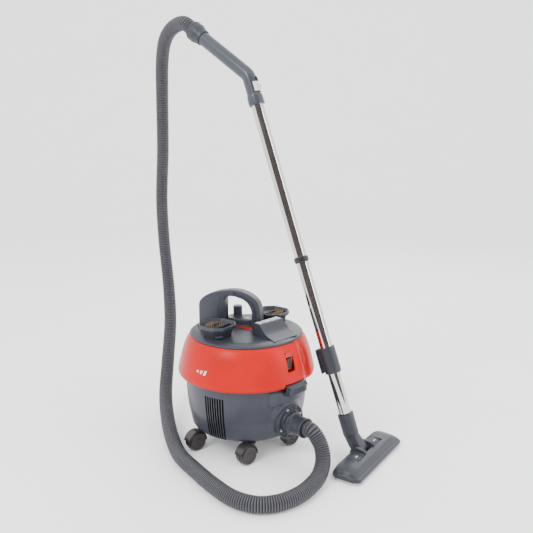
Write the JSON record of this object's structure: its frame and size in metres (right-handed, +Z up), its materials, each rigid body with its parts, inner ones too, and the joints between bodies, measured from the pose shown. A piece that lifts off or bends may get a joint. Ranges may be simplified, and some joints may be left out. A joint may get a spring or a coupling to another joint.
{
  "type": "tub vacuum cleaner",
  "caption": "Round tub vacuum cleaner on casters with a red hood, ribbed hose, chrome push-fit wand, bent hand grip and a floor nozzle with rocker pedals.",
  "frame": {"origin": "on the floor, under the middle of the bounding box of everything but the free hose", "axes": "+Z up, the height with the wand parked upright; the tub's inlet faces 44 degrees round from -Y towards +X"},
  "size_m": [0.7104, 0.8325, 1.1184],
  "materials": {
    "grey_plastic": "satin moulded, dark blue-grey",
    "red_plastic": "satin moulded, orange-red",
    "dark_plastic": "fine-grained, near black",
    "hose_plastic": "ribbed, mid grey",
    "caster_plastic": "satin, brown-black",
    "chrome": "polished",
    "steel": "zinc plated",
    "rubber": "matt",
    "filter_paper": "felted",
    "bristle": "tufted, golden brown",
    "copper": "enamelled windings",
    "white_plastic": "satin"
  },
  "bodies": {
    "canister": {"tub": "grey_plastic", "rim_seal": "rubber", "dust_bag": "filter_paper", "inlet_flange": "grey_plastic", "flange_screw_1": "steel", "flange_screw_2": "steel", "flange_screw_3": "steel", "flange_screw_4": "steel", "hose_connector": "grey_plastic", "hose": "hose_plastic", "hose_cuff": "grey_plastic"},
    "head": {"hood": "red_plastic", "lid": "grey_plastic", "handle": "grey_plastic", "control_console": "grey_plastic", "tool_post": "grey_plastic", "switch_bezel": "red_plastic", "motor_plate": "dark_plastic", "filter_basket": "filter_paper", "motor_housing": "dark_plastic", "motor_stator": "steel", "exhaust_filter": "filter_paper", "cord_gland": "dark_plastic"},
    "rotor": {"armature": "copper", "fan_impeller": "steel"},
    "switch": {"switch_rocker": "dark_plastic"},
    "front_latch": {"front_latch": "grey_plastic"},
    "rear_latch": {"rear_latch": "grey_plastic"},
    "brush_tool_1": {"brush_tool_1": "grey_plastic", "bristle_tuft_1": "bristle"},
    "brush_tool_2": {"brush_tool_2": "grey_plastic", "bristle_tuft_2": "bristle"},
    "caster_1": {"caster_fork_1": "caster_plastic"},
    "wheels_1": {"caster_wheels_1": "caster_plastic"},
    "caster_2": {"caster_fork_2": "caster_plastic"},
    "wheels_2": {"caster_wheels_2": "caster_plastic"},
    "caster_3": {"caster_fork_3": "caster_plastic"},
    "wheels_3": {"caster_wheels_3": "caster_plastic"},
    "caster_4": {"caster_fork_4": "caster_plastic"},
    "wheels_4": {"caster_wheels_4": "caster_plastic"},
    "caster_5": {"caster_fork_5": "caster_plastic"},
    "wheels_5": {"caster_wheels_5": "caster_plastic"},
    "upper_wand": {"grip_tube": "grey_plastic", "upper_tube": "chrome"},
    "suction_slider": {"suction_slider": "white_plastic"},
    "lower_wand": {"lower_tube": "chrome", "joint_ring": "dark_plastic"},
    "parking_clip": {"parking_clip": "grey_plastic"},
    "neck": {"neck_elbow": "grey_plastic"},
    "nozzle": {"nozzle_body": "grey_plastic", "nozzle_sole": "steel", "nozzle_pin": "steel"},
    "brush_strips": {"front_brush_strip": "rubber", "rear_brush_strip": "rubber"},
    "left_pedal": {"left_pedal": "dark_plastic"},
    "right_pedal": {"right_pedal": "dark_plastic"},
    "left_roller": {"left_roller": "rubber"},
    "right_roller": {"right_roller": "rubber"}
  },
  "joints": [
    {"name": "head_lift", "type": "slide", "parent": "canister", "child": "head", "axis": [0, 0, 1], "range_m": [0, 0.06]},
    {"name": "rotor_spin", "type": "hinge", "parent": "head", "child": "rotor", "pos_m": [-0.1156, 0.0245, 0.25], "axis": [0, 0, 1], "continuous": true},
    {"name": "switch_rock", "type": "hinge", "parent": "head", "child": "switch", "pos_m": [-0.00987, -0.09088, 0.257], "axis": [0.7373, 0.6756, 0], "range_deg": [-8, 8]},
    {"name": "front_latch_swing", "type": "hinge", "parent": "canister", "child": "front_latch", "pos_m": [0.00319, -0.09429, 0.184], "axis": [0.7071, 0.7071, 0], "range_deg": [0, 35]},
    {"name": "rear_latch_swing", "type": "hinge", "parent": "canister", "child": "rear_latch", "pos_m": [-0.23439, 0.14329, 0.184], "axis": [-0.7071, -0.7071, 0], "range_deg": [0, 35]},
    {"name": "brush_tool_1_lift", "type": "slide", "parent": "head", "child": "brush_tool_1", "axis": [0, 0, 1], "range_m": [0, 0.05]},
    {"name": "brush_tool_2_lift", "type": "slide", "parent": "head", "child": "brush_tool_2", "axis": [0, 0, 1], "range_m": [0, 0.05]},
    {"name": "caster_1_swivel", "type": "hinge", "parent": "canister", "child": "caster_1", "pos_m": [-0.09964, -0.10552, 0.06], "axis": [0, 0, 1], "continuous": true},
    {"name": "caster_1_roll", "type": "hinge", "parent": "caster_1", "child": "wheels_1", "pos_m": [-0.11302, -0.11756, 0.025], "axis": [-0.6691, 0.7431, 0], "continuous": true},
    {"name": "caster_2_swivel", "type": "hinge", "parent": "canister", "child": "caster_2", "pos_m": [0.01299, -0.0005, 0.06], "axis": [0, 0, 1], "continuous": true},
    {"name": "caster_2_roll", "type": "hinge", "parent": "caster_2", "child": "wheels_2", "pos_m": [-0.0008, -0.01207, 0.025], "axis": [-0.6428, 0.766, 0], "continuous": true},
    {"name": "caster_3_swivel", "type": "hinge", "parent": "canister", "child": "caster_3", "pos_m": [-0.05209, 0.13908, 0.06], "axis": [0, 0, 1], "continuous": true},
    {"name": "caster_3_roll", "type": "hinge", "parent": "caster_3", "child": "wheels_3", "pos_m": [-0.06567, 0.12727, 0.025], "axis": [-0.6561, 0.7547, 0], "continuous": true},
    {"name": "caster_4_swivel", "type": "hinge", "parent": "canister", "child": "caster_4", "pos_m": [-0.20494, 0.12031, 0.06], "axis": [0, 0, 1], "continuous": true},
    {"name": "caster_4_roll", "type": "hinge", "parent": "caster_4", "child": "wheels_4", "pos_m": [-0.21912, 0.10923, 0.025], "axis": [-0.6157, 0.788, 0], "continuous": true},
    {"name": "caster_5_swivel", "type": "hinge", "parent": "canister", "child": "caster_5", "pos_m": [-0.23433, -0.03086, 0.06], "axis": [0, 0, 1], "continuous": true},
    {"name": "caster_5_roll", "type": "hinge", "parent": "caster_5", "child": "wheels_5", "pos_m": [-0.24812, -0.04243, 0.025], "axis": [-0.6428, 0.766, 0], "continuous": true},
    {"name": "wand_swivel", "type": "hinge", "parent": "canister", "child": "upper_wand", "pos_m": [-0.25705, 0.196, 1.0795], "axis": [0.6872, -0.4549, -0.5664], "range_deg": [0, 20]},
    {"name": "suction_slide", "type": "slide", "parent": "upper_wand", "child": "suction_slider", "axis": [-0.2756, 0.1824, 0.9438], "range_m": [0, 0.01]},
    {"name": "tube_pull", "type": "slide", "parent": "upper_wand", "child": "lower_wand", "axis": [0.2756, -0.1824, -0.9438], "range_m": [0, 0.03]},
    {"name": "clip_slide", "type": "slide", "parent": "lower_wand", "child": "parking_clip", "axis": [-0.2756, 0.1824, 0.9438], "range_m": [-0.03, 0.03]},
    {"name": "neck_swivel", "type": "hinge", "parent": "lower_wand", "child": "neck", "pos_m": [0.14128, -0.06765, 0.105], "axis": [-0.2756, 0.1824, 0.9438], "range_deg": [0, 60]},
    {"name": "nozzle_tilt", "type": "hinge", "parent": "neck", "child": "nozzle", "pos_m": [0.17773, -0.09177, 0.024], "axis": [0.5519, 0.8339, 0], "range_deg": [-15, 40]},
    {"name": "left_pedal_press", "type": "hinge", "parent": "nozzle", "child": "left_pedal", "pos_m": [0.15653, -0.1401, 0.02], "axis": [0.5519, 0.8339, 0], "range_deg": [0, 6]},
    {"name": "right_pedal_press", "type": "hinge", "parent": "nozzle", "child": "right_pedal", "pos_m": [0.21393, -0.05338, 0.02], "axis": [0.5519, 0.8339, 0], "range_deg": [-6, 0]},
    {"name": "brush_strip_drop", "type": "slide", "parent": "nozzle", "child": "brush_strips", "axis": [0, 0, -1], "range_m": [0, 0.003]},
    {"name": "left_roller_roll", "type": "hinge", "parent": "nozzle", "child": "left_roller", "pos_m": [0.1189, -0.16797, 0.008], "axis": [0.5519, 0.8339, 0], "continuous": true},
    {"name": "right_roller_roll", "type": "hinge", "parent": "nozzle", "child": "right_roller", "pos_m": [0.22487, -0.00786, 0.008], "axis": [0.5519, 0.8339, 0], "continuous": true}
  ],
  "couplings": [
    {"joint": "left_pedal_press", "follows": "brush_strip_drop", "rad_per_m": 34.9},
    {"joint": "right_pedal_press", "follows": "brush_strip_drop", "rad_per_m": -34.9}
  ]
}
